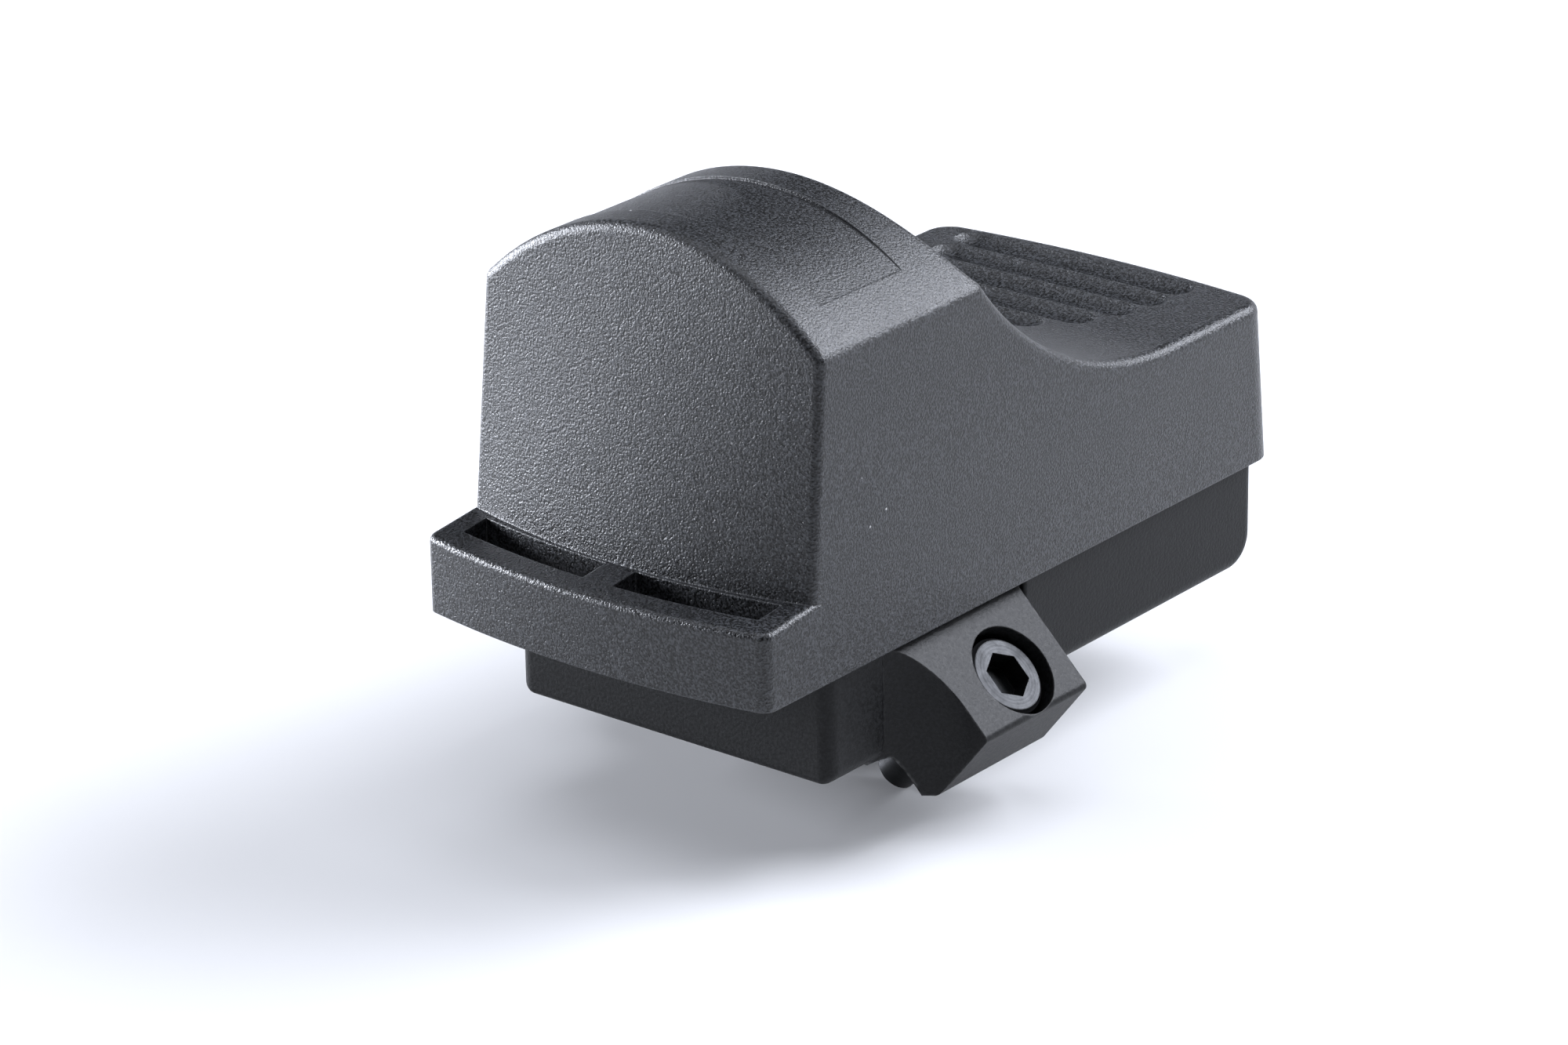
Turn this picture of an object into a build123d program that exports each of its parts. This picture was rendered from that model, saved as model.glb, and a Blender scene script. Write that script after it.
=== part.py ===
from build123d import *
import os
from math import cos, radians, sin, sqrt, tan

# Mini reflex finder sight under its protective cover, on a cross-bolted piggyback base.
# Frame: origin at the centre of the base's underside, +X to the right seen from the front,
# +Y towards the shooter's eye, +Z up.  The hood faces -Y.

os.makedirs("parts", exist_ok=True)

# ---------------------------------------------------------------- driving dimensions (mm)
BASE_WIDTH = 25.4
BASE_LENGTH = 46.2
BASE_HEIGHT = 7.85
BASE_CORNER = 1.0
BASE_HEEL = 2.4
BASE_TOE = 0.5

COVER_HALF_WIDTH = 13.75
COVER_DRAFT = 0.8
COVER_REAR = 23.9
COVER_REAR_LEAN = 4.6
COVER_REAR_BOW = 1.0
COVER_WALL = 1.3
COVER_GAP = 0.05
ARCH_RADIUS = 18.8
ARCH_CENTRE_Z = 15.65
FRONT_Y = -25.7
FRONT_LEAN = 5.2
FRONT_BOW = 1.65
FRONT_BOW_TOP = 0.25
LIP_TOP = 13.55
LIP_DROP = 0.7
LIP_FRONT = -31.65
LIP_REAR = -26.3
LIP_BOW = 1.35
LIP_HALF_WIDTH = 13.75
LIP_CORNER = 0.9
LIP_ROUND = 0.4
ARCH_OVERHANG = 1.0
CROWN_MARGIN = 0.8
FRONT_CORNER = 0.6
REAR_CORNER = 2.2
HOLLOW_FRONT_CORNER = 0.4
HOLLOW_REAR_CORNER = 1.2
DECK_Z = 19.0
SWEEP_Y = 12.3
SWEEP_RADIUS = 25.8
SWEEP_END_Y = -7.3
CREST_RADIUS = 13.5

EAR_REAR = -3.7
EAR_REACH = 18.35
SCREW_X = 16.1
SCREW_Y = -8.65
SCREW_Z = 3.95
SCREW_R = 1.45

HOUSING_HALF_WIDTH = 12.1
HOUSING_FRONT = -22.2
HOUSING_REAR = 21.3
HOUSING_DECK = 16.4
CHANNEL_Z = 13.6
CHANNEL_HALF_WIDTH = 10.4
FRAME_REAR = -13.5
STEP_Y = 7.4
BEAM_TILT = 17.8

BATTERY_R = 10.0
BATTERY_Y = -9.0
ADJUSTER_R = 1.0
RUN = 0.05

# ---------------------------------------------------------------- derived heights
COVER_Z0 = BASE_HEIGHT + COVER_GAP
APEX_Z = ARCH_CENTRE_Z + ARCH_RADIUS
GASKET_TOP = BASE_HEIGHT + 0.4
BATTERY_Z = GASKET_TOP + 0.3
BATTERY_H = 3.2
RECESS_TOP = 12.3
BOARD_Z = 9.0
BOARD_T = 0.8
BOARD_TOP = BOARD_Z + BOARD_T
POCKET_TOP = 10.4
CAVITY_TOP = 15.2
SWEEP_Z = DECK_Z + SWEEP_RADIUS
TALL = 60.0
DIAGONAL = sqrt(0.5)
NEAR = 0.01

# ---------------------------------------------------------------- protective cover (mm)
EDGE = 0.7
SLOT_FRONT = -29.8
SLOT_REAR = -27.6
SLOT_INNER = 1.2
SLOT_OUTER = 11.9
LABEL_FRONT = -21.2
LABEL_REAR = -13.2
LABEL_HALF = 10.95
LABEL_DEPTH = 0.22
LABEL_FLOOR_RADIUS = 19.6
GROOVES = 5
GROOVE_PITCH = 2.81
GROOVE_LAST_Y = 21.3
GROOVE_RADIUS = 1.9
GROOVE_DEPTH = 0.55
GROOVE_END_NEAR = 8.7
GROOVE_END_FAR = 11.0
GROOVE_FADE = 12.5

# ---------------------------------------------------------------- cover magnet (mm)
MAGNET_R = 3.0
MAGNET_H = 1.0
MAGNET_CHAMFER = 0.15
MAGNET_Y = 17.6

# ---------------------------------------------------------------- mount base (mm)
EAR_TOP = 7.05
EAR_FOOT_Z = -2.9
EAR_FOOT_IN = 13.9
EAR_FOOT_OUT = 14.75
EAR_FRONT = -14.3
EAR_SWEEP_RADIUS = 4.5
EAR_SWEEP_MARGIN = 0.6
EAR_ROOT = 3.0
EAR_SHOULDER = 0.55
EAR_ROUND = 0.4
WALL_RELIEF = 0.4
RELIEF_ROUND = 0.35
RELIEF_FRONT = -17.4
RELIEF_REAR = -2.9
HEAD_R = 2.75
HEAD_H = 3.0
HEAD_SINK = 0.6
WASHER_H = 0.5
COUNTERBORE_R = 3.15
COUNTERBORE_DEPTH = HEAD_SINK + HEAD_H + WASHER_H
SCREW_HOLE_R = SCREW_R + RUN
HOUSING_SCREW_X = 7.4
HOUSING_SCREW_Y = 3.9
HOUSING_SCREW_R = 1.45
HOUSING_SCREW_BORE = 5.5
PIN_R = 1.0
PIN_LENGTH = 3.4
PIN_END_GAP = 0.2
PIN_CHAMFER = 0.25
PIN_Z = 5.85
PIN_PLACES = [(-10.2, -19.4), (10.2, -19.4), (-10.4, 4.2), (10.4, 4.2)]
HOUSING_SCREW_PLACES = [(-HOUSING_SCREW_X, HOUSING_SCREW_Y), (HOUSING_SCREW_X, HOUSING_SCREW_Y)]

# ---------------------------------------------------------------- ear screws and washers (mm)
SHANK_LENGTH = 10.0
THREAD_END = 4.6
NECK_R = 1.15
HEX_FLATS = 2.9
HEX_DEPTH = 1.6
HEX_TURN = 30
WASHER_R = 2.95
HEAD_CHAMFER = 0.25
TIP_CHAMFER = 0.4

# ---------------------------------------------------------------- sight housing (mm)
WING_RADIUS = 28.4
HOUSING_ARCH_R = 17.1
HOUSING_FRONT_CORNER = 0.8
HOUSING_REAR_CORNER = 1.6
WINDOW_CORNER = 1.0
APERTURE_HALF = 9.6
APERTURE_R = 14.6
APERTURE_BOTTOM = 14.6
GLASS_RIM = 0.8
LENS_SEAT_Y = -19.5
BATTERY_RECESS_R = BATTERY_R + 0.3
POCKET_HALF = 9.9
POCKET_FRONT = 5.9
POCKET_REAR = 19.9
BAY_HALF = 7.0
BAY_FRONT = 17.0
BAY_TOP = 12.0
CAVITY_HALF = 6.2
CAVITY_FRONT = 9.0
CAVITY_REAR = 16.4
SLOT_HALF = 1.75
PORT_Z = 14.7
PORT_R = 1.1
PORT_REACH = 2.5
WINDOW_R = 1.35
WINDOW_T = 0.45
BEAM_FALL = tan(radians(BEAM_TILT))
PORT_Y = STEP_Y + (PORT_Z - CHANNEL_Z) * BEAM_FALL
GUIDE_X = -8.0
GUIDE_Y = 12.5
GUIDE_R = 1.15
GUIDE_GAP = 0.1
ELEVATION_Y = 13.9
DECK_HOLE_R = 2.3
WINDAGE_Y = 14.2
WINDAGE_Z = 12.3
ADJUSTER_HEAD_R = 1.7
ADJUSTER_HEAD_H = 1.2
WINDAGE_SINK = 1.6
SEAL_X = 9.5
SEAL_GROOVE_R = 1.72
SEAL_GROOVE_W = 0.75
LOCK_R = 1.0
LOCK_HEX = 0.9
DECK_LOCK_SINK = 0.4
DECK_LOCK_LENGTH = 2.5
REAR_LOCK_SINK = 1.2
REAR_LOCK_LENGTH = 4.0
LOCK_X = 7.7
LOCK_Z = 13.6
BOARD_SCREW_X = 8.4
BOARD_SCREW_Y = 17.9
BOARD_SCREW_R = 0.7
BOARD_SCREW_BORE = 0.6
BOSS_R = 1.3
COUNTERSINK_R = 2.75
COUNTERSINK_GAP = 0.2
COUNTERSINK_TOP = CHANNEL_Z - COUNTERSINK_GAP

# ---------------------------------------------------------------- screws and gasket (mm)
GASKET_HALF = 11.8
GASKET_FRONT = -21.8
GASKET_REAR = 21.0
GASKET_CORNER = 1.2
GASKET_GAP = 0.2
HOUSING_SCREW_END = 2.5
HOUSING_SCREW_HEX = 2.0
HOUSING_SCREW_HEX_DEPTH = 1.15

# ---------------------------------------------------------------- lens group (mm)
LENS_FIT = 0.1
LENS_T = 2.3
LENS_GASKET_T = 0.3
LENS_HOLLOW_R = 75.0
LENS_HOLLOW_DEPTH = 0.4
RETAINER_T = 1.0
LENS_CENTRE_Z = 22.4

# ---------------------------------------------------------------- window, light guide and electronics (mm)
BOARD_HALF = 9.6
BOARD_FRONT = 6.2
BOARD_REAR = 19.6
BOARD_CORNER = 0.6
BOARD_SCREW_REACH = 0.4
BOARD_HEAD_R = 1.25
BOARD_HEAD_H = 0.5
CHIP = 3.0
CHIP_T = 0.5
CHIP_X = 7.2
CHIP_Y = 10.5
SENSOR = 1.6
REED_R = 0.8
REED_LENGTH = 9.0
REED_Y = 18.4
REED_Z = 10.75
REED_LEAD_R = 0.2
REED_LEAD_X = 5.6
SHEET = 0.25
FLEX_Y = 10.0
FLEX_SLOT_HALF = 1.6
FLEX_SLOT_DEPTH = 1.1

# ---------------------------------------------------------------- battery and its contacts (mm)
CELL_STEP_R = 8.9
CELL_STEP_H = 0.35
CELL_ROUND = 0.3
GROUND_R = 6.0
GROUND_HOLE_R = 3.2
GROUND_RISE = 0.6
CONTACT_HALF = 1.5
CONTACT_SPAN = 4.0
CONTACT_RISE = 0.35
CONTACT_DIP = 0.15
CONTACT_BEND_Y = 3.2
CONTACT_FOOT_Y = 5.0
CONTACT_END_Y = 7.4

# ---------------------------------------------------------------- windage and elevation adjusters (mm)
CARRIAGE_HALF = 3.6
CARRIAGE_FRONT = 10.2
CARRIAGE_REAR = 15.9
CARRIAGE_FLOOR = 10.7
CARRIAGE_FLOOR_TOP = 11.3
CARRIAGE_SLOT_HALF = 2.05
CARRIAGE_BACK = 15.35
CARRIAGE_ROOF = 14.1
CARRIAGE_TOP = 15.0
CARRIAGE_ROOF_FRONT = 12.5
WINDAGE_TIP = 2.6
SCREWDRIVER_SLOT = 0.5
SPRING_WIRE_R = 0.11
ELEVATION_TIP = 11.45
BLOCK_HALF = 1.9
BLOCK_REAR = 15.2
BLOCK_BOTTOM = 11.8
BLOCK_TONGUE_TOP = 12.9
BLOCK_POST_REAR = 12.2
BLOCK_TOP = 14.5
DIODE_Z = 14.0
DIODE_R = 0.75
DIODE_BASE = 0.5
DIODE_ROUND = 0.2
FLEX_WIDTH = 1.4
FLEX_T = 0.12
FLEX_GAP = 0.1
SEAL_R = 1.36
SEAL_WIRE_R = 0.33
WINDAGE_SPRING_R = 1.1
WINDAGE_SPRING_GAP = 0.55
WINDAGE_SPRING_SEAT = 0.15
SPRING_TURNS = 3
ELEVATION_SPRING_R = 1.3


def write(part, name):
    """Label a finished piece and write its STEP file."""
    part.label = name
    export_step(part, f"parts/{name}.step")


def arch_height(x, radius=ARCH_RADIUS):
    """Height of the hood's arch at distance x from the middle."""
    return ARCH_CENTRE_Z + sqrt(radius**2 - x**2)


def half_width(z):
    """Half the cover's width at height z, with the moulding's draft."""
    return COVER_HALF_WIDTH - (z - COVER_Z0) * tan(radians(COVER_DRAFT))


def arch_section(inset, bottom):
    """Front view of the hood: a circular arch over a body wider than the cover's side walls."""
    radius = ARCH_RADIUS - inset
    wide = COVER_HALF_WIDTH + ARCH_OVERHANG - inset
    crown = arch_height(wide, radius)
    with BuildSketch(Plane.XZ) as section:
        with BuildLine():
            Polyline((-wide, crown), (-wide, bottom), (wide, bottom), (wide, crown))
            ThreePointArc((wide, crown), (0, ARCH_CENTRE_Z + radius), (-wide, crown))
        make_face()
    return section.sketch


def side_section(inset, top):
    """Side view of the cover: level deck, concave sweep and steep hood crest, open to the front and rear."""
    sweep = SWEEP_RADIUS + inset
    crest = CREST_RADIUS + inset
    deck = SWEEP_Z - sweep
    out_y = (SWEEP_Y - SWEEP_END_Y) / SWEEP_RADIUS
    out_z = sqrt(1 - out_y**2)
    crest_centre_y = SWEEP_END_Y + CREST_RADIUS * out_y
    crest_centre_z = SWEEP_Z - (SWEEP_RADIUS - CREST_RADIUS) * out_z
    join = (SWEEP_Y - sweep * out_y, SWEEP_Z - sweep * out_z)
    sweep_mid = (SWEEP_Y - sweep * sin(radians(25)), SWEEP_Z - sweep * cos(radians(25)))

    def crest_point(z):
        return (crest_centre_y - sqrt(crest**2 - (crest_centre_z - z) ** 2), z)

    crest_top = crest_point(top)
    with BuildSketch(Plane.YZ) as section:
        with BuildLine():
            Polyline(crest_top, (-TALL, top), (-TALL, 0), (TALL, 0), (TALL, deck), (SWEEP_Y, deck))
            ThreePointArc((SWEEP_Y, deck), sweep_mid, join)
            ThreePointArc(join, crest_point((join[1] + top) / 2), crest_top)
        make_face()
    return section.sketch


def plan_section(z, inset, front_corner, rear_corner):
    """Plan view of the cover at height z: straight sides, front and rear bowed outwards, rounded corners."""
    rise = z - LIP_TOP
    x = half_width(z) - inset
    front = FRONT_Y + inset + rise * tan(radians(FRONT_LEAN))
    bow = FRONT_BOW - rise * (FRONT_BOW - FRONT_BOW_TOP) / (APEX_Z - LIP_TOP)
    rear = COVER_REAR - inset - (z - COVER_Z0) * tan(radians(COVER_REAR_LEAN))
    with BuildSketch(Plane.XY.offset(z)) as section:
        with BuildLine():
            Line((-x, front), (-x, rear))
            ThreePointArc((-x, rear), (0, rear + COVER_REAR_BOW), (x, rear))
            Line((x, rear), (x, front))
            ThreePointArc((x, front), (0, front - bow), (-x, front))
        make_face()
        fillet(section.vertices().group_by(Axis.Y)[-1], rear_corner)
        fillet(section.vertices().group_by(Axis.Y)[0], front_corner)
    return section.sketch


def cover_block(inset, bottom, front_corner, rear_corner):
    """The cover's envelope, or its hollow when inset is the wall thickness."""
    top = APEX_Z - inset + CROWN_MARGIN
    with BuildPart() as block:
        extrude(arch_section(inset, bottom), amount=TALL, both=True)
        extrude(side_section(inset, top), amount=TALL, both=True, mode=Mode.INTERSECT)
        ends = [plan_section(z, inset, front_corner, rear_corner) for z in (bottom, top)]
        loft(ends, ruled=True, mode=Mode.INTERSECT)
    return block.part


def bowed_strip(z, front, rear, x_low, x_high):
    """Plan strip between two arcs bowed forwards like the lip, from x_low to x_high, at height z."""
    span = LIP_HALF_WIDTH
    with BuildSketch(Plane.XY.offset(z)) as strip:
        with BuildLine():
            ThreePointArc((-span, front + LIP_BOW), (0, front), (span, front + LIP_BOW))
            Line((span, front + LIP_BOW), (span, rear + LIP_BOW))
            ThreePointArc((span, rear + LIP_BOW), (0, rear), (-span, rear + LIP_BOW))
            Line((-span, rear + LIP_BOW), (-span, front + LIP_BOW))
        make_face()
        with Locations(((x_low + x_high) / 2, front)):
            Rectangle(x_high - x_low, TALL, mode=Mode.INTERSECT)
    return strip.sketch


# ---------------------------------------------------------------- protective cover


def is_moulded_edge(edge):
    """True for the outside edges of the hood, sweep and deck, and not for seams inside the sweep."""
    centre = edge.center()
    seam = abs(centre.X) < NEAR and min(abs(centre.Y - SWEEP_END_Y), abs(centre.Y - SWEEP_Y)) < NEAR
    return centre.Z > DECK_Z - NEAR and not seam


def is_lip_top(face):
    """True for the gently falling top of the lip."""
    return face.center().Z > LIP_TOP - LIP_DROP and face.normal_at().Z > DIAGONAL


def lip_block():
    """Lip along the foot of the hood: bowed front, top falling slightly forwards, rounded top edge."""
    with BuildPart() as lip:
        with BuildSketch(Plane.XY.offset(COVER_Z0)) as plan:
            add(bowed_strip(0, LIP_FRONT, LIP_REAR, -LIP_HALF_WIDTH, LIP_HALF_WIDTH).faces())
            fillet(plan.vertices().group_by(Axis.Y)[0], LIP_CORNER)
        extrude(amount=LIP_TOP - COVER_Z0)
        with BuildSketch(Plane.YZ):
            with BuildLine():
                Polyline(
                    (LIP_REAR + LIP_BOW, LIP_TOP),
                    (LIP_FRONT, LIP_TOP - LIP_DROP),
                    (LIP_FRONT, TALL),
                    (LIP_REAR + LIP_BOW, TALL),
                    close=True,
                )
            make_face()
        extrude(amount=TALL, both=True, mode=Mode.SUBTRACT)
        top_face = lip.faces().filter_by(is_lip_top)[0]
        fillet([e for e in top_face.edges() if e.center().Y < LIP_REAR - LIP_ROUND], LIP_ROUND)
    return lip.part


def label_recess():
    """Shallow blank recess wrapped over the crown, deepest in the middle and fading to its ends."""
    floor_apex = APEX_Z - LABEL_DEPTH
    floor_end = floor_apex - LABEL_FLOOR_RADIUS + sqrt(LABEL_FLOOR_RADIUS**2 - LABEL_HALF**2)
    with BuildPart() as recess:
        with BuildSketch(Plane.XZ.offset(-LABEL_REAR)):
            with BuildLine():
                ThreePointArc((-LABEL_HALF, floor_end), (0, floor_apex), (LABEL_HALF, floor_end))
                Line((LABEL_HALF, floor_end), (LABEL_HALF, TALL))
                Line((LABEL_HALF, TALL), (-LABEL_HALF, TALL))
                Line((-LABEL_HALF, TALL), (-LABEL_HALF, floor_end))
            make_face()
        extrude(amount=LABEL_REAR - LABEL_FRONT)
    return recess.part


def grip_grooves():
    """Five cross grooves in the deck with ball-shaped ends that follow an elliptical outline."""
    with BuildPart() as grooves:
        for index in range(GROOVES):
            y = GROOVE_LAST_Y - index * GROOVE_PITCH
            spread = sqrt(1 - ((GROOVE_LAST_Y - 0.5 - y) / GROOVE_FADE) ** 2)
            near = GROOVE_END_NEAR * spread - GROOVE_PITCH / 2
            far = GROOVE_PITCH / 2 - GROOVE_END_FAR * spread
            axis_z = DECK_Z + GROOVE_RADIUS - GROOVE_DEPTH
            with Locations(((near + far) / 2, y, axis_z)):
                Cylinder(GROOVE_RADIUS, near - far, rotation=(0, 90, 0))
            with Locations((near, y, axis_z), (far, y, axis_z)):
                Sphere(GROOVE_RADIUS)
    return grooves.part


with BuildPart() as protective_cover:
    add(cover_block(0, COVER_Z0, FRONT_CORNER, REAR_CORNER))
    fillet(protective_cover.edges().filter_by(is_moulded_edge), EDGE)
    add(label_recess(), mode=Mode.SUBTRACT)
    add(grip_grooves(), mode=Mode.SUBTRACT)
    add(lip_block())
    for side in (-1, 1):
        x_low, x_high = sorted((side * SLOT_INNER, side * SLOT_OUTER))
        slot = bowed_strip(COVER_Z0, SLOT_FRONT, SLOT_REAR, x_low, x_high)
        extrude(slot, amount=TALL, dir=(0, 0, 1), mode=Mode.SUBTRACT)
    hollow = cover_block(COVER_WALL, COVER_Z0 - COVER_WALL, HOLLOW_FRONT_CORNER, HOLLOW_REAR_CORNER)
    add(hollow, mode=Mode.SUBTRACT)

write(protective_cover.part, "protective_cover")

# ---------------------------------------------------------------- cover magnet

with BuildPart() as cover_magnet:
    with BuildSketch(Plane.XY.offset(DECK_Z - COVER_WALL - MAGNET_H)):
        with Locations((0, MAGNET_Y)):
            Circle(MAGNET_R)
    extrude(amount=MAGNET_H)
    chamfer(cover_magnet.edges().group_by(Axis.Z)[0], MAGNET_CHAMFER)

write(cover_magnet.part, "cover_magnet")

# ---------------------------------------------------------------- mount base


def ear_axis(side, depth):
    """Plane whose normal is the ear screw's outward axis, at a depth below the sloping face."""
    reach = depth * DIAGONAL
    origin = (side * (SCREW_X - reach), SCREW_Y, SCREW_Z - reach)
    return Plane(origin=origin, x_dir=(0, 1, 0), z_dir=(side * DIAGONAL, 0, DIAGONAL))


def ear_block(side):
    """Ear on one side wall: 45 degree face above, undercut below, concave sweep from the wall to its tip."""
    wall = BASE_WIDTH / 2 - WALL_RELIEF
    face_sum = SCREW_X + SCREW_Z
    root = wall - EAR_ROOT
    tip = EAR_REACH + EAR_SWEEP_MARGIN
    sweep_start = EAR_FRONT - EAR_SWEEP_RADIUS
    with BuildPart() as ear:
        with BuildSketch(Plane.XZ.offset(-EAR_REAR)) as section:
            with BuildLine():
                Polyline(
                    (root, 0),
                    (BASE_WIDTH / 2, 0),
                    (EAR_FOOT_IN, EAR_FOOT_Z),
                    (EAR_FOOT_OUT, EAR_FOOT_Z),
                    (EAR_REACH, face_sum - EAR_REACH),
                    (face_sum - EAR_TOP, EAR_TOP),
                    (wall, EAR_TOP + EAR_SHOULDER),
                    (root, EAR_TOP + EAR_SHOULDER),
                    close=True,
                )
            make_face()
            fillet(section.vertices().sort_by(Axis.X)[-1], EAR_ROUND)
            fillet(section.vertices().group_by(Axis.Y)[0].sort_by(Axis.X)[-1], EAR_ROUND)
        extrude(amount=EAR_REAR - sweep_start)
        with BuildSketch(Plane.XY.offset(EAR_FOOT_Z - 1)):
            with BuildLine():
                Polyline(
                    (wall, sweep_start),
                    (root - 1, sweep_start),
                    (root - 1, EAR_REAR),
                    (tip, EAR_REAR),
                    (tip, EAR_FRONT),
                    (wall + EAR_SWEEP_RADIUS, EAR_FRONT),
                )
                RadiusArc((wall + EAR_SWEEP_RADIUS, EAR_FRONT), (wall, sweep_start), -EAR_SWEEP_RADIUS)
            make_face()
        extrude(amount=TALL, mode=Mode.INTERSECT)
    return ear.part if side > 0 else ear.part.mirror(Plane.YZ)


def is_relief_edge(edge):
    """True for the upright edges where a side wall's relief starts and ends."""
    centre = edge.center()
    upright = abs(edge.tangent_at(0.5).Z) > 1 - NEAR
    at_end = min(abs(centre.Y - RELIEF_FRONT), abs(centre.Y - RELIEF_REAR)) < NEAR
    return upright and at_end and abs(abs(centre.X) - BASE_WIDTH / 2) < NEAR


with BuildPart() as mount_base:
    with BuildSketch():
        Rectangle(BASE_WIDTH, BASE_LENGTH)
    extrude(amount=BASE_HEIGHT)
    heel = mount_base.edges().group_by(Axis.Z)[0].filter_by(Axis.X)
    fillet(heel.sort_by(Axis.Y)[-1], BASE_HEEL)
    fillet(mount_base.edges().group_by(Axis.Z)[0].filter_by(Axis.X).sort_by(Axis.Y)[0], BASE_TOE)
    fillet(mount_base.edges().filter_by(Axis.Z), BASE_CORNER)
    for side in (-1, 1):
        relief_y = (RELIEF_FRONT + RELIEF_REAR) / 2
        with Locations((side * BASE_WIDTH / 2, relief_y, BASE_HEIGHT / 2)):
            Box(2 * WALL_RELIEF, RELIEF_REAR - RELIEF_FRONT, BASE_HEIGHT, mode=Mode.SUBTRACT)
    fillet(mount_base.edges().filter_by(is_relief_edge), RELIEF_ROUND)
    for side in (-1, 1):
        add(ear_block(side))
        with BuildSketch(ear_axis(side, COUNTERBORE_DEPTH)):
            Circle(COUNTERBORE_R)
        extrude(amount=TALL, mode=Mode.SUBTRACT)
        with BuildSketch(ear_axis(side, COUNTERBORE_DEPTH)):
            Circle(SCREW_HOLE_R)
        extrude(amount=-SHANK_LENGTH, mode=Mode.SUBTRACT)
    with BuildSketch(Plane.XY.offset(BASE_HEIGHT)):
        with Locations(*HOUSING_SCREW_PLACES):
            Circle(HOUSING_SCREW_R + RUN)
    extrude(amount=-HOUSING_SCREW_BORE, mode=Mode.SUBTRACT)
    with BuildSketch(Plane.XY.offset(BASE_HEIGHT)):
        with Locations(*PIN_PLACES):
            Circle(PIN_R)
    extrude(amount=PIN_Z - BASE_HEIGHT, mode=Mode.SUBTRACT)

write(mount_base.part, "mount_base")


# ---------------------------------------------------------------- ear screws and washers


def ear_screw(side):
    """Socket cap screw along the ear's axis: head under flush, reduced neck, threaded end below the base."""
    under_head = HEAD_SINK + HEAD_H
    with BuildPart() as screw:
        with BuildSketch(ear_axis(side, under_head)):
            Circle(HEAD_R)
        extrude(amount=HEAD_H)
        with BuildSketch(ear_axis(side, under_head + SHANK_LENGTH)):
            Circle(NECK_R)
        extrude(amount=SHANK_LENGTH)
        with BuildSketch(ear_axis(side, under_head + SHANK_LENGTH)):
            Circle(SCREW_R)
        extrude(amount=THREAD_END)
        with BuildSketch(ear_axis(side, HEAD_SINK + HEX_DEPTH)):
            RegularPolygon(HEX_FLATS / 2, 6, major_radius=False, rotation=HEX_TURN)
        extrude(amount=HEX_DEPTH, mode=Mode.SUBTRACT)
        across = Axis((0, 0, 0), (side, 0, 1))
        crown = screw.faces().filter_by(across).sort_by(across)[-1]
        chamfer(crown.outer_wire().edges(), HEAD_CHAMFER)
        tip = screw.faces().filter_by(across).sort_by(across)[0]
        chamfer(tip.edges(), TIP_CHAMFER)
    return screw.part


def ear_washer(side):
    """Plain washer under a cap screw's head."""
    with BuildPart() as washer:
        with BuildSketch(ear_axis(side, COUNTERBORE_DEPTH)):
            Circle(WASHER_R)
            Circle(SCREW_R + RUN, mode=Mode.SUBTRACT)
        extrude(amount=WASHER_H)
    return washer.part


for side, name in ((1, "near"), (-1, "far")):
    write(ear_screw(side), f"ear_screw_{name}")
    write(ear_washer(side), f"ear_washer_{name}")


# ---------------------------------------------------------------- sight housing


def window_section(y, half, radius, bottom):
    """Arched window outline across the frame at depth y."""
    crown = arch_height(half, radius)
    with BuildSketch(Plane.XZ.offset(-y)) as outline:
        with BuildLine():
            Polyline((-half, crown), (-half, bottom), (half, bottom), (half, crown))
            ThreePointArc((half, crown), (0, ARCH_CENTRE_Z + radius), (-half, crown))
        make_face()
        fillet(outline.vertices(), WINDOW_CORNER)
    return outline.sketch


def beam_plane(y, z):
    """Plane square to the emitter's beam, normal pointing forwards and up."""
    tilt = radians(BEAM_TILT)
    return Plane(origin=(0, y, z), x_dir=(1, 0, 0), z_dir=(0, -cos(tilt), sin(tilt)))


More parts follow.
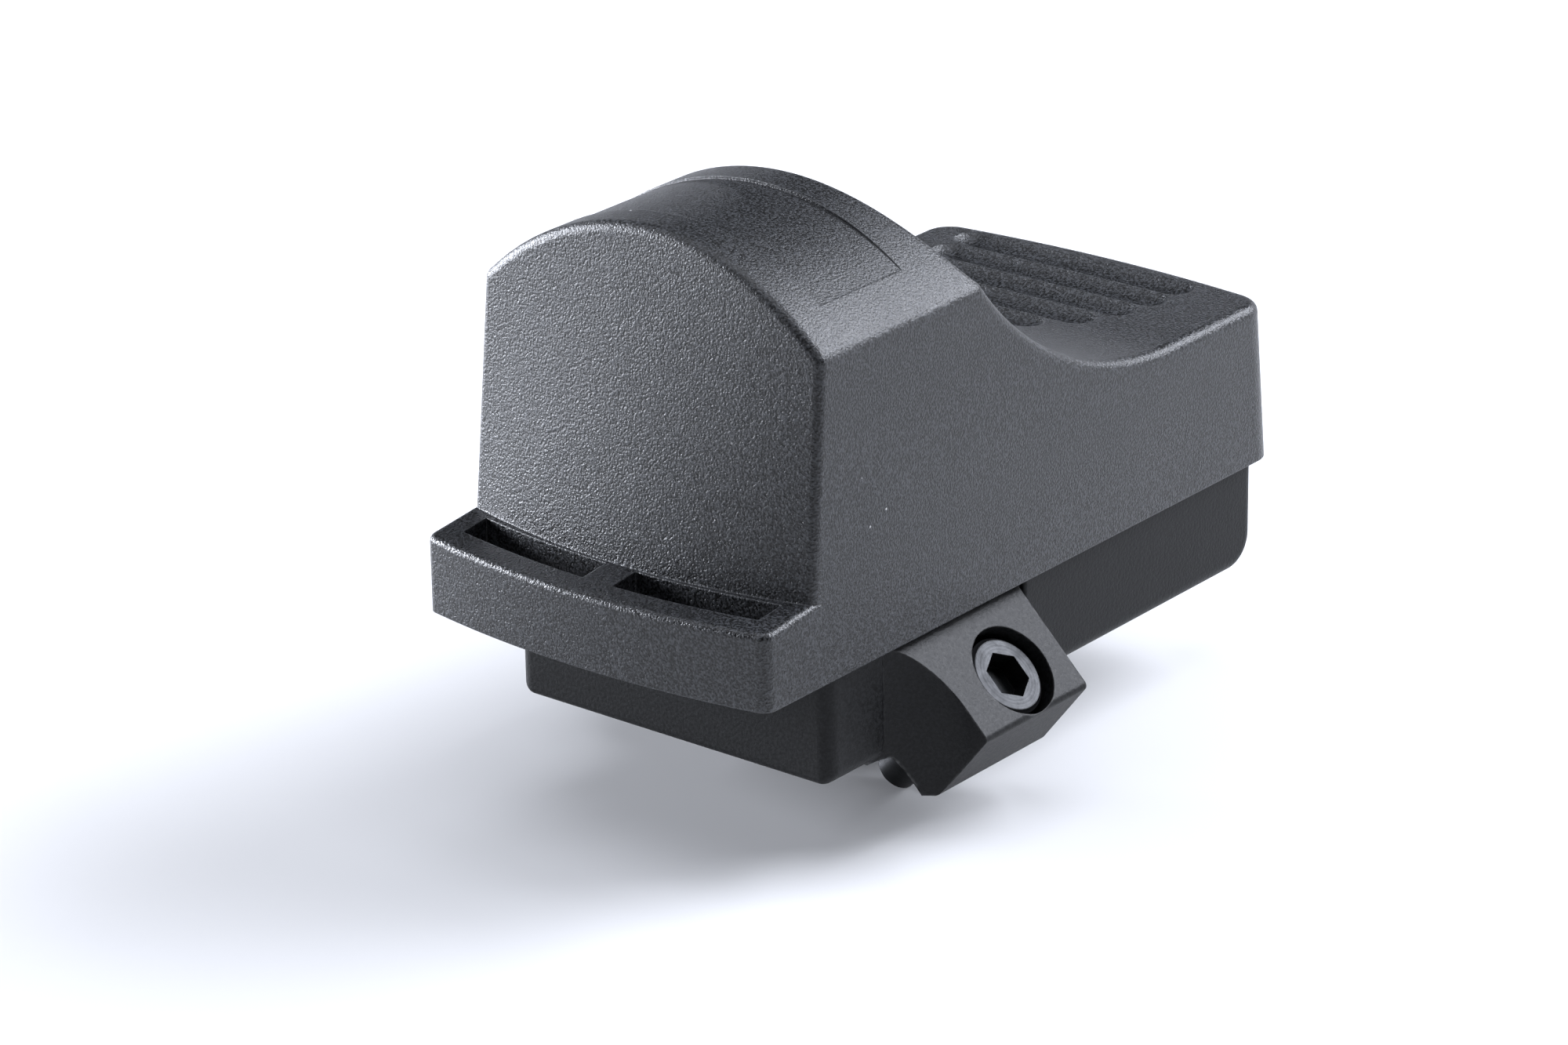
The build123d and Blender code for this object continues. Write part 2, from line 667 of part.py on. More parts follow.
def housing_envelope():
    """Outside of the housing: arched window frame in front, swept wings and a low rear deck."""
    with BuildPart() as envelope:
        with BuildSketch(Plane.YZ):
            wing_end = SWEEP_Z - sqrt(WING_RADIUS**2 - (SWEEP_Y - FRAME_REAR) ** 2)
            wing_mid = (SWEEP_Y - WING_RADIUS * sin(radians(30)), SWEEP_Z - WING_RADIUS * cos(radians(30)))
            with BuildLine():
                Polyline(
                    (FRAME_REAR, wing_end),
                    (FRAME_REAR, TALL),
                    (HOUSING_FRONT, TALL),
                    (HOUSING_FRONT, GASKET_TOP),
                    (HOUSING_REAR, GASKET_TOP),
                    (HOUSING_REAR, HOUSING_DECK),
                    (SWEEP_Y, HOUSING_DECK),
                )
                ThreePointArc((SWEEP_Y, HOUSING_DECK), wing_mid, (FRAME_REAR, wing_end))
            make_face()
        extrude(amount=HOUSING_HALF_WIDTH, both=True)
        crown = arch_height(HOUSING_HALF_WIDTH, HOUSING_ARCH_R)
        with BuildSketch(Plane.XZ):
            with BuildLine():
                Polyline(
                    (-HOUSING_HALF_WIDTH - 1, crown - 1),
                    (-HOUSING_HALF_WIDTH - 1, 0),
                    (HOUSING_HALF_WIDTH + 1, 0),
                    (HOUSING_HALF_WIDTH + 1, crown - 1),
                    (HOUSING_HALF_WIDTH, crown),
                )
                apex = (0, ARCH_CENTRE_Z + HOUSING_ARCH_R)
                ThreePointArc((HOUSING_HALF_WIDTH, crown), apex, (-HOUSING_HALF_WIDTH, crown))
                Line((-HOUSING_HALF_WIDTH, crown), (-HOUSING_HALF_WIDTH - 1, crown - 1))
            make_face()
        extrude(amount=TALL, both=True, mode=Mode.INTERSECT)
        upright = envelope.edges().filter_by(Axis.Z)
        fillet(upright.group_by(Axis.Y)[-1], HOUSING_REAR_CORNER)
        fillet(upright.group_by(Axis.Y)[0], HOUSING_FRONT_CORNER)
    return envelope.part


with BuildPart() as sight_housing:
    add(housing_envelope())
    with BuildSketch(Plane.YZ):
        with BuildLine():
            Polyline(
                (FRAME_REAR, CHANNEL_Z),
                (STEP_Y, CHANNEL_Z),
                (STEP_Y + (HOUSING_DECK - CHANNEL_Z) * BEAM_FALL, HOUSING_DECK),
                (TALL, HOUSING_DECK),
                (TALL, TALL),
                (FRAME_REAR, TALL),
                close=True,
            )
        make_face()
    extrude(amount=CHANNEL_HALF_WIDTH, both=True, mode=Mode.SUBTRACT)
    aperture = window_section(HOUSING_FRONT - 1, APERTURE_HALF, APERTURE_R, APERTURE_BOTTOM)
    extrude(aperture, amount=HOUSING_FRONT - 1 - FRAME_REAR, mode=Mode.SUBTRACT)
    pocket = window_section(
        LENS_SEAT_Y, APERTURE_HALF + GLASS_RIM, APERTURE_R + GLASS_RIM, APERTURE_BOTTOM - GLASS_RIM
    )
    extrude(pocket, amount=LENS_SEAT_Y - FRAME_REAR, mode=Mode.SUBTRACT)
    with BuildSketch(Plane.XY.offset(GASKET_TOP)):
        with Locations((0, BATTERY_Y)):
            Circle(BATTERY_RECESS_R)
        with Locations((0, POCKET_FRONT - 2)):
            Rectangle(2 * SLOT_HALF, POCKET_FRONT)
    extrude(amount=RECESS_TOP - GASKET_TOP, mode=Mode.SUBTRACT)
    with BuildSketch(Plane.XY.offset(GASKET_TOP)):
        with Locations((0, (POCKET_FRONT + POCKET_REAR) / 2)):
            Rectangle(2 * POCKET_HALF, POCKET_REAR - POCKET_FRONT)
    extrude(amount=POCKET_TOP - GASKET_TOP, mode=Mode.SUBTRACT)
    with BuildSketch(Plane.XY.offset(BOARD_TOP)):
        with Locations((-BOARD_SCREW_X, BOARD_SCREW_Y), (BOARD_SCREW_X, BOARD_SCREW_Y)):
            Circle(BOSS_R)
    extrude(amount=BAY_TOP - BOARD_TOP)
    with BuildSketch(Plane.XY.offset(BOARD_TOP)):
        with Locations((-BOARD_SCREW_X, BOARD_SCREW_Y), (BOARD_SCREW_X, BOARD_SCREW_Y)):
            Circle(BOARD_SCREW_R)
    extrude(amount=BAY_TOP + BOARD_SCREW_BORE - BOARD_TOP, mode=Mode.SUBTRACT)
    with BuildSketch(Plane.XY.offset(GASKET_TOP)):
        with Locations((0, (BAY_FRONT + POCKET_REAR) / 2)):
            Rectangle(2 * BAY_HALF, POCKET_REAR - BAY_FRONT)
    extrude(amount=BAY_TOP - GASKET_TOP, mode=Mode.SUBTRACT)
    with BuildSketch(Plane.XY.offset(GASKET_TOP)):
        with Locations((0, (CAVITY_FRONT + CAVITY_REAR) / 2)):
            Rectangle(2 * CAVITY_HALF, CAVITY_REAR - CAVITY_FRONT)
    extrude(amount=CAVITY_TOP - GASKET_TOP, mode=Mode.SUBTRACT)
    with BuildSketch(beam_plane(PORT_Y, PORT_Z)):
        Circle(PORT_R)
    extrude(amount=PORT_REACH, both=True, mode=Mode.SUBTRACT)
    with BuildSketch(beam_plane(PORT_Y, PORT_Z)):
        Circle(WINDOW_R + RUN)
    extrude(amount=-WINDOW_T, mode=Mode.SUBTRACT)
    with BuildSketch(Plane.XY.offset(POCKET_TOP)):
        with Locations((GUIDE_X, GUIDE_Y)):
            Circle(GUIDE_R)
    extrude(amount=TALL, mode=Mode.SUBTRACT)
    with BuildSketch(Plane.XY.offset(HOUSING_DECK)):
        with Locations((0, ELEVATION_Y)):
            Circle(DECK_HOLE_R)
    extrude(amount=CAVITY_TOP - HOUSING_DECK, mode=Mode.SUBTRACT)
    with BuildSketch(Plane.XY.offset(HOUSING_DECK)):
        with Locations((LOCK_X, WINDAGE_Y)):
            Circle(LOCK_R)
    extrude(amount=WINDAGE_Z - HOUSING_DECK, mode=Mode.SUBTRACT)
    with BuildSketch(Plane.XZ.offset(-HOUSING_REAR)):
        with Locations((0, LOCK_Z)):
            Circle(LOCK_R)
    extrude(amount=HOUSING_REAR - CAVITY_REAR, mode=Mode.SUBTRACT)
    with BuildSketch(Plane.YZ.offset(HOUSING_HALF_WIDTH)):
        with Locations((WINDAGE_Y, WINDAGE_Z)):
            Circle(ADJUSTER_R + RUN)
    extrude(amount=CAVITY_HALF - HOUSING_HALF_WIDTH, mode=Mode.SUBTRACT)
    with BuildSketch(Plane.YZ.offset(HOUSING_HALF_WIDTH)):
        with Locations((WINDAGE_Y, WINDAGE_Z)):
            Circle(ADJUSTER_HEAD_R + 2 * RUN)
    extrude(amount=-WINDAGE_SINK, mode=Mode.SUBTRACT)
    with BuildSketch(Plane.YZ.offset(SEAL_X)):
        with Locations((WINDAGE_Y, WINDAGE_Z)):
            Circle(SEAL_GROOVE_R)
    extrude(amount=SEAL_GROOVE_W / 2, both=True, mode=Mode.SUBTRACT)
    for x, y in HOUSING_SCREW_PLACES:
        with Locations((x, y, CHANNEL_Z)):
            head_r = COUNTERSINK_R + COUNTERSINK_GAP
            CounterSinkHole(HOUSING_SCREW_R + RUN, head_r, depth=CHANNEL_Z - GASKET_TOP)
    with BuildSketch(Plane.XY.offset(GASKET_TOP)):
        with Locations(*PIN_PLACES):
            Circle(PIN_R)
    extrude(amount=PIN_Z + PIN_LENGTH + PIN_END_GAP - GASKET_TOP, mode=Mode.SUBTRACT)

write(sight_housing.part, "sight_housing")


# ---------------------------------------------------------------- seal, screws and pins under the housing

with BuildPart() as base_gasket:
    with BuildSketch(Plane.XY.offset(BASE_HEIGHT)):
        with Locations((0, (GASKET_FRONT + GASKET_REAR) / 2)):
            RectangleRounded(2 * GASKET_HALF, GASKET_REAR - GASKET_FRONT, GASKET_CORNER)
        with Locations((0, BATTERY_Y)):
            Circle(BATTERY_RECESS_R, mode=Mode.SUBTRACT)
        with Locations((0, (POCKET_FRONT + POCKET_REAR) / 2)):
            Rectangle(2 * POCKET_HALF, POCKET_REAR - POCKET_FRONT, mode=Mode.SUBTRACT)
        with Locations(*HOUSING_SCREW_PLACES):
            Circle(HOUSING_SCREW_R + GASKET_GAP, mode=Mode.SUBTRACT)
        with Locations(*PIN_PLACES):
            Circle(PIN_R + GASKET_GAP, mode=Mode.SUBTRACT)
    extrude(amount=GASKET_TOP - BASE_HEIGHT)

write(base_gasket.part, "base_gasket")


with BuildPart() as housing_screws:
    for x, y in HOUSING_SCREW_PLACES:
        with BuildSketch(Plane.XZ.offset(-y)):
            with BuildLine():
                Polyline(
                    (x, HOUSING_SCREW_END),
                    (x + HOUSING_SCREW_R - TIP_CHAMFER, HOUSING_SCREW_END),
                    (x + HOUSING_SCREW_R, HOUSING_SCREW_END + TIP_CHAMFER),
                    (x + HOUSING_SCREW_R, COUNTERSINK_TOP - COUNTERSINK_R + HOUSING_SCREW_R),
                    (x + COUNTERSINK_R, COUNTERSINK_TOP),
                    (x, COUNTERSINK_TOP),
                    close=True,
                )
            make_face()
        revolve(axis=Axis((x, y, 0), (0, 0, 1)))
        with BuildSketch(Plane.XY.offset(COUNTERSINK_TOP)):
            with Locations((x, y)):
                RegularPolygon(HOUSING_SCREW_HEX / 2, 6, major_radius=False)
        extrude(amount=-HOUSING_SCREW_HEX_DEPTH, mode=Mode.SUBTRACT)

write(housing_screws.part, "housing_screws")

with BuildPart() as locating_pins:
    with BuildSketch(Plane.XY.offset(PIN_Z)):
        with Locations(*PIN_PLACES):
            Circle(PIN_R)
    extrude(amount=PIN_LENGTH)
    chamfer(locating_pins.edges().group_by(Axis.Z)[-1], PIN_CHAMFER)

write(locating_pins.part, "locating_pins")


# ---------------------------------------------------------------- lens group


def rim_section(y, grow):
    """Glass outline at depth y, grown or shrunk from the aperture by the given margin."""
    return window_section(y, APERTURE_HALF + grow, APERTURE_R + grow, APERTURE_BOTTOM - grow)


def rim_ring(y, thickness):
    """Flat ring that covers the rim of the glass outline, from depth y towards the eye."""
    with BuildPart() as ring:
        extrude(rim_section(y, GLASS_RIM - LENS_FIT), amount=-thickness)
        extrude(rim_section(y, 0), amount=-thickness, mode=Mode.SUBTRACT)
    return ring.part


with BuildPart() as lens:
    lens_front = LENS_SEAT_Y + LENS_GASKET_T
    extrude(rim_section(lens_front, GLASS_RIM - LENS_FIT), amount=-LENS_T)
    with Locations((0, lens_front + LENS_T + LENS_HOLLOW_R - LENS_HOLLOW_DEPTH, LENS_CENTRE_Z)):
        Sphere(LENS_HOLLOW_R, mode=Mode.SUBTRACT)

write(lens.part, "lens")
write(rim_ring(LENS_SEAT_Y, LENS_GASKET_T), "lens_gasket")
write(rim_ring(LENS_SEAT_Y + LENS_GASKET_T + LENS_T, RETAINER_T), "lens_retainer")


# ---------------------------------------------------------------- window, light guide and electronics

with BuildPart() as emitter_window:
    with BuildSketch(beam_plane(PORT_Y, PORT_Z)):
        Circle(WINDOW_R)
    extrude(amount=-WINDOW_T)

write(emitter_window.part, "emitter_window")

with BuildPart() as light_guide:
    with BuildSketch(Plane.XY.offset(POCKET_TOP + GUIDE_GAP)):
        with Locations((GUIDE_X, GUIDE_Y)):
            Circle(GUIDE_R)
    extrude(amount=HOUSING_DECK - POCKET_TOP - GUIDE_GAP)

write(light_guide.part, "light_guide")

with BuildPart() as circuit_board:
    with BuildSketch(Plane.XY.offset(BOARD_Z)):
        with Locations((0, (BOARD_FRONT + BOARD_REAR) / 2)):
            RectangleRounded(2 * BOARD_HALF, BOARD_REAR - BOARD_FRONT, BOARD_CORNER)
        with Locations((0, FLEX_Y)):
            Rectangle(2 * FLEX_SLOT_HALF, FLEX_SLOT_DEPTH, mode=Mode.SUBTRACT)
        with Locations((-BOARD_SCREW_X, BOARD_SCREW_Y), (BOARD_SCREW_X, BOARD_SCREW_Y)):
            Circle(BOARD_SCREW_R + RUN, mode=Mode.SUBTRACT)
    extrude(amount=BOARD_T)

write(circuit_board.part, "circuit_board")

with BuildPart() as board_screws:
    for side in (-1, 1):
        with BuildSketch(Plane.XY.offset(BOARD_Z)):
            with Locations((side * BOARD_SCREW_X, BOARD_SCREW_Y)):
                Circle(BOARD_SCREW_R)
        extrude(amount=BAY_TOP + BOARD_SCREW_REACH - BOARD_Z)
        with BuildSketch(Plane.XY.offset(BOARD_Z)):
            with Locations((side * BOARD_SCREW_X, BOARD_SCREW_Y)):
                Circle(BOARD_HEAD_R)
        extrude(amount=-BOARD_HEAD_H)

write(board_screws.part, "board_screws")

with BuildPart() as controller_chip:
    with Locations((CHIP_X, CHIP_Y, BOARD_TOP + CHIP_T / 2)):
        Box(CHIP, CHIP, CHIP_T)

write(controller_chip.part, "controller_chip")

with BuildPart() as light_sensor:
    with Locations((GUIDE_X, GUIDE_Y, BOARD_TOP + CHIP_T / 2)):
        Box(SENSOR, SENSOR, CHIP_T)

write(light_sensor.part, "light_sensor")

with BuildPart() as reed_switch:
    with Locations((0, REED_Y, REED_Z)):
        Cylinder(REED_R, REED_LENGTH, rotation=(0, 90, 0))
        Cylinder(REED_LEAD_R, 2 * REED_LEAD_X, rotation=(0, 90, 0))
    for side in (-1, 1):
        with BuildSketch(Plane.XY.offset(BOARD_TOP)):
            with Locations((side * REED_LEAD_X, REED_Y)):
                Circle(REED_LEAD_R)
        extrude(amount=REED_Z - BOARD_TOP + REED_LEAD_R)

write(reed_switch.part, "reed_switch")


# ---------------------------------------------------------------- battery and its contacts

with BuildPart() as battery:
    with BuildSketch(Plane.XY.offset(BATTERY_Z)):
        with Locations((0, BATTERY_Y)):
            Circle(CELL_STEP_R)
    extrude(amount=CELL_STEP_H)
    with BuildSketch(Plane.XY.offset(BATTERY_Z + CELL_STEP_H)):
        with Locations((0, BATTERY_Y)):
            Circle(BATTERY_R)
    extrude(amount=BATTERY_H - CELL_STEP_H)
    fillet(battery.edges().group_by(Axis.Z)[-1], CELL_ROUND)

write(battery.part, "battery")

with BuildPart() as battery_spring_contact:
    battery_top = BATTERY_Z + BATTERY_H
    with BuildSketch(Plane.YZ):
        with BuildLine():
            Polyline(
                (BATTERY_Y - CONTACT_SPAN, battery_top + CONTACT_RISE),
                (BATTERY_Y, battery_top + CONTACT_DIP),
                (BATTERY_Y + CONTACT_SPAN, battery_top + CONTACT_RISE),
                (CONTACT_BEND_Y, battery_top + CONTACT_RISE),
                (CONTACT_FOOT_Y, BOARD_TOP + SHEET),
                (CONTACT_END_Y, BOARD_TOP + SHEET / 2 + NEAR),
            )
        trace(line_width=SHEET)
    extrude(amount=CONTACT_HALF, both=True)

write(battery_spring_contact.part, "battery_spring_contact")

with BuildPart() as battery_ground_contact:
    with BuildSketch(Plane.XZ.offset(-BATTERY_Y)):
        with BuildLine():
            Polyline(
                (GROUND_HOLE_R, BASE_HEIGHT + GROUND_RISE - SHEET),
                (GROUND_R, BASE_HEIGHT),
                (GROUND_R, BASE_HEIGHT + SHEET),
                (GROUND_HOLE_R, BASE_HEIGHT + GROUND_RISE),
                close=True,
            )
        make_face()
    revolve(axis=Axis((0, BATTERY_Y, 0), (0, 0, 1)))

write(battery_ground_contact.part, "battery_ground_contact")


# ---------------------------------------------------------------- windage and elevation adjusters


def slotted_screw(base, shank_length):
    """Slotted cheese-head adjuster with its head above the given plane and its shank below it."""
    with BuildPart() as screw:
        with BuildSketch(base):
            Circle(ADJUSTER_HEAD_R)
        extrude(amount=ADJUSTER_HEAD_H)
        with BuildSketch(base.offset(ADJUSTER_HEAD_H)):
            Rectangle(3 * ADJUSTER_HEAD_R, SCREWDRIVER_SLOT)
        extrude(amount=-ADJUSTER_HEAD_H / 2, mode=Mode.SUBTRACT)
        with BuildSketch(base):
            Circle(ADJUSTER_R)
        extrude(amount=-shank_length)
    return screw.part


def grub_screw(base, length):
    """Headless lock screw running down from the given plane, with a hexagon socket."""
    with BuildPart() as screw:
        with BuildSketch(base):
            Circle(LOCK_R)
        extrude(amount=-length)
        with BuildSketch(base):
            RegularPolygon(LOCK_HEX / 2, 6, major_radius=False)
        extrude(amount=-LOCK_HEX, mode=Mode.SUBTRACT)
    return screw.part


def coil(centre, direction, radius, length, turns):
    """Open coil spring whose axis starts at centre and runs along direction."""
    with BuildPart() as spring:
        with BuildLine():
            path = Helix(length / turns, length, radius, center=centre, direction=direction)
        with BuildSketch(Plane(origin=path @ 0, z_dir=path % 0)):
            Circle(SPRING_WIRE_R)
        sweep(path=path, is_frenet=True)
    return spring.part


with BuildPart() as windage_carriage:
    depth = CARRIAGE_REAR - CARRIAGE_FRONT
    with Locations((0, (CARRIAGE_FRONT + CARRIAGE_REAR) / 2, (CARRIAGE_FLOOR + CARRIAGE_TOP) / 2)):
        Box(2 * CARRIAGE_HALF, depth, CARRIAGE_TOP - CARRIAGE_FLOOR)
    with BuildSketch(Plane.XY.offset(CARRIAGE_FLOOR_TOP)):
        with Locations((0, (CARRIAGE_FRONT + CARRIAGE_BACK) / 2)):
            Rectangle(2 * CARRIAGE_SLOT_HALF, CARRIAGE_BACK - CARRIAGE_FRONT)
    extrude(amount=CARRIAGE_ROOF - CARRIAGE_FLOOR_TOP, mode=Mode.SUBTRACT)
    with BuildSketch(Plane.XY.offset(CARRIAGE_FLOOR_TOP)):
        with Locations((0, (CARRIAGE_FRONT + CARRIAGE_ROOF_FRONT) / 2)):
            Rectangle(2 * CARRIAGE_SLOT_HALF, CARRIAGE_ROOF_FRONT - CARRIAGE_FRONT)
    extrude(amount=TALL, mode=Mode.SUBTRACT)
    with BuildSketch(Plane.XY.offset(CARRIAGE_TOP)):
        with Locations((0, ELEVATION_Y)):
            Circle(ADJUSTER_R + RUN)
    extrude(amount=CARRIAGE_ROOF - CARRIAGE_TOP, mode=Mode.SUBTRACT)
    with BuildSketch(Plane.YZ.offset(CARRIAGE_HALF)):
        with Locations((WINDAGE_Y, WINDAGE_Z)):
            Circle(ADJUSTER_R + RUN)
    extrude(amount=CARRIAGE_SLOT_HALF - CARRIAGE_HALF, mode=Mode.SUBTRACT)

write(windage_carriage.part, "windage_carriage")

windage_base = Plane(origin=(HOUSING_HALF_WIDTH - WINDAGE_SINK + RUN, WINDAGE_Y, WINDAGE_Z), z_dir=(1, 0, 0))
elevation_base = Plane(origin=(0, ELEVATION_Y, CARRIAGE_TOP + RUN), z_dir=(0, 0, 1))
windage_shank = HOUSING_HALF_WIDTH - WINDAGE_SINK + RUN - WINDAGE_TIP
elevation_shank = CARRIAGE_TOP + RUN - ELEVATION_TIP
write(slotted_screw(windage_base, windage_shank), "windage_screw")
write(slotted_screw(elevation_base, elevation_shank), "elevation_screw")

with BuildPart() as windage_seal:
    with BuildSketch(Plane.XZ.offset(-WINDAGE_Y)):
        with Locations((SEAL_X, WINDAGE_Z + SEAL_R)):
            Circle(SEAL_WIRE_R)
    revolve(axis=Axis((0, WINDAGE_Y, WINDAGE_Z), (1, 0, 0)))

write(windage_seal.part, "windage_seal")

with BuildPart() as lock_screws:
    deck_lock = Plane(origin=(LOCK_X, WINDAGE_Y, HOUSING_DECK - DECK_LOCK_SINK), z_dir=(0, 0, 1))
    rear_lock = Plane(origin=(0, HOUSING_REAR - REAR_LOCK_SINK, LOCK_Z), z_dir=(0, 1, 0))
    add(grub_screw(deck_lock, DECK_LOCK_LENGTH))
    add(grub_screw(rear_lock, REAR_LOCK_LENGTH))

write(lock_screws.part, "lock_screws")

spring_start = (WINDAGE_SPRING_GAP - CAVITY_HALF, WINDAGE_Y, WINDAGE_Z)
spring_run = CAVITY_HALF - CARRIAGE_HALF - WINDAGE_SPRING_GAP - WINDAGE_SPRING_SEAT
write(coil(spring_start, (1, 0, 0), WINDAGE_SPRING_R, spring_run, SPRING_TURNS), "windage_spring")
spring_foot = (0, ELEVATION_Y, BLOCK_TONGUE_TOP + SPRING_WIRE_R)
spring_length = CARRIAGE_ROOF - BLOCK_TONGUE_TOP - 2 * SPRING_WIRE_R
write(coil(spring_foot, (0, 0, 1), ELEVATION_SPRING_R, spring_length, SPRING_TURNS), "elevation_spring")

with BuildPart() as emitter_block:
    with BuildSketch(Plane.YZ):
        with BuildLine():
            Polyline(
                (CARRIAGE_FRONT, BLOCK_BOTTOM),
                (BLOCK_REAR, BLOCK_BOTTOM),
                (BLOCK_REAR, BLOCK_TONGUE_TOP),
                (BLOCK_POST_REAR, BLOCK_TONGUE_TOP),
                (BLOCK_POST_REAR, BLOCK_TOP),
                (CARRIAGE_FRONT + (BLOCK_TOP - DIODE_Z + DIODE_R) * BEAM_FALL, BLOCK_TOP),
                (CARRIAGE_FRONT, DIODE_Z - DIODE_R),
                close=True,
            )
        make_face()
    extrude(amount=BLOCK_HALF, both=True)
    with BuildSketch(Plane.XY.offset(BLOCK_BOTTOM)):
        with Locations((0, ELEVATION_Y)):
            Circle(ADJUSTER_R + RUN)
    extrude(amount=BLOCK_TONGUE_TOP - BLOCK_BOTTOM, mode=Mode.SUBTRACT)

write(emitter_block.part, "emitter_block")

diode_seat = CARRIAGE_FRONT + DIODE_R * BEAM_FALL

with BuildPart() as emitter_diode:
    with BuildSketch(beam_plane(diode_seat, DIODE_Z)):
        Circle(DIODE_R)
    extrude(amount=DIODE_BASE)
    fillet(emitter_diode.edges().sort_by(Axis.Y)[0], DIODE_ROUND)

write(emitter_diode.part, "emitter_diode")

with BuildPart() as emitter_flex:
    with Locations((0, CARRIAGE_FRONT - FLEX_GAP, (BOARD_Z + DIODE_Z - DIODE_R) / 2)):
        Box(FLEX_WIDTH, FLEX_T, DIODE_Z - DIODE_R - BOARD_Z)

write(emitter_flex.part, "emitter_flex")
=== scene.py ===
from math import cos, radians, sin, sqrt

import bpy
from mathutils import Matrix, Vector


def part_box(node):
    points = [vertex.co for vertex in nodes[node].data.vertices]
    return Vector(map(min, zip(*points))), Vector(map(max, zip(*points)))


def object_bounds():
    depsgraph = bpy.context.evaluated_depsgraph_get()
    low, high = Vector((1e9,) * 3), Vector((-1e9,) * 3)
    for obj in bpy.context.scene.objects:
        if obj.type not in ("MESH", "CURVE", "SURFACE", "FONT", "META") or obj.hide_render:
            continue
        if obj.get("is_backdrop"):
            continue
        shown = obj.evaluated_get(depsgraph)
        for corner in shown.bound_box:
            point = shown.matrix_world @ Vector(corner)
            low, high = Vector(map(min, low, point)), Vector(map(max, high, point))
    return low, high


# Mini reflex finder sight under its protective cover: looks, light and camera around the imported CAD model.
# Lengths are in metres, in the row frame: origin under the base, -Y the way the hood faces, +Z up.

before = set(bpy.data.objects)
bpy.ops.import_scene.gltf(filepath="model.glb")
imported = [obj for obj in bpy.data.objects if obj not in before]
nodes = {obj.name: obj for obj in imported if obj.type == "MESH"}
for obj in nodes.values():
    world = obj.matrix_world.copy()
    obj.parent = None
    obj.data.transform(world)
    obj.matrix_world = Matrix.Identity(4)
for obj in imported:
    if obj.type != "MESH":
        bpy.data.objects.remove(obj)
cad_low, cad_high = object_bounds()
MM = 0.001
BEVEL_SAMPLES = 6


# ---------------------------------------------------------------- node helpers
class Recipe:
    """A node material under construction, with short calls for the nodes used here."""

    def __init__(self, name):
        self.material = bpy.data.materials.new(name)
        self.material.use_nodes = True
        self.tree = self.material.node_tree
        self.tree.nodes.clear()
        self.output = self.tree.nodes.new("ShaderNodeOutputMaterial")
        self.shader = self.tree.nodes.new("ShaderNodeBsdfPrincipled")
        self.tree.links.new(self.shader.outputs["BSDF"], self.output.inputs["Surface"])
        self.place = self.tree.nodes.new("ShaderNodeTexCoord").outputs["Object"]

    def node(self, kind, inputs=None, **settings):
        """Add a node, set its attributes, and link or set its inputs."""
        made = self.tree.nodes.new(kind)
        for key, value in settings.items():
            setattr(made, key, value)
        for key, value in (inputs or {}).items():
            self.feed(made.inputs[key], value)
        return made

    def feed(self, socket, value):
        """Link an output to a socket, or set the socket's own value."""
        if isinstance(value, bpy.types.NodeSocket):
            self.tree.links.new(value, socket)
        else:
            socket.default_value = value

    def noise(self, size, detail=2.0, rough=0.5, place=None):
        """Noise whose features are about the given size."""
        inputs = {"Vector": place or self.place, "Scale": 1.0 / size, "Detail": detail, "Roughness": rough}
        return self.node("ShaderNodeTexNoise", inputs).outputs["Fac"]

    def cells(self, size, feature="F1"):
        """Distance inside Voronoi cells of about the given size."""
        inputs = {"Vector": self.place, "Scale": 1.0 / size}
        return self.node("ShaderNodeTexVoronoi", inputs, feature=feature).outputs["Distance"]

    def remap(self, value, low, high, to_low=0.0, to_high=1.0):
        """Clamped linear remap of a value."""
        inputs = {"Value": value, "From Min": low, "From Max": high, "To Min": to_low, "To Max": to_high}
        return self.node("ShaderNodeMapRange", inputs).outputs["Result"]

    def math(self, operation, a, b=0.0):
        """Two-value arithmetic."""
        made = self.node("ShaderNodeMath", operation=operation)
        self.feed(made.inputs[0], a)
        self.feed(made.inputs[1], b)
        return made.outputs[0]

    def blend(self, factor, a, b):
        """Blend of two colours."""
        made = self.node("ShaderNodeMix", data_type="RGBA")
        self.feed(made.inputs[0], factor)
        self.feed(made.inputs[6], a)
        self.feed(made.inputs[7], b)
        return made.outputs[2]

    def edge_mask(self, radius, low, high):
        """One on sharp outer and inner edges within the radius, nothing on flat stretches."""
        rounded = self.soft_edges(radius)
        flat = self.node("ShaderNodeNewGeometry").outputs["Normal"]
        inputs = {0: rounded, 1: flat}
        aligned = self.node("ShaderNodeVectorMath", inputs, operation="DOT_PRODUCT").outputs["Value"]
        return self.remap(self.math("SUBTRACT", 1.0, aligned), low, high)

    def bump(self, height, distance, strength=1.0, under=None):
        """Bump from a height, stacked on an earlier normal."""
        inputs = {"Height": height, "Distance": distance, "Strength": strength}
        if under is not None:
            inputs["Normal"] = under
        return self.node("ShaderNodeBump", inputs).outputs["Normal"]

    def soft_edges(self, radius):
        """Normal that rounds hard CAD edges by the given radius."""
        return self.node("ShaderNodeBevel", {"Radius": radius}, samples=BEVEL_SAMPLES).outputs["Normal"]

    def height(self):
        """Height above the row's origin, in metres."""
        return self.node("ShaderNodeSeparateXYZ", {0: self.place}).outputs["Z"]

    def set(self, **values):
        """Feed the shader's sockets by name, with _ for spaces."""
        for key, value in values.items():
            self.feed(self.shader.inputs[key.replace("_", " ")], value)
        return self.material


def grey(level, blue=0.0):
    """Near-neutral colour with an optional cold shift."""
    return (level * (1 - blue), level, level * (1 + 2 * blue), 1.0)


def shade(colour, factor):
    """The same colour, darker or lighter by a factor."""
    return tuple(factor * channel for channel in colour[:3]) + (1.0,)


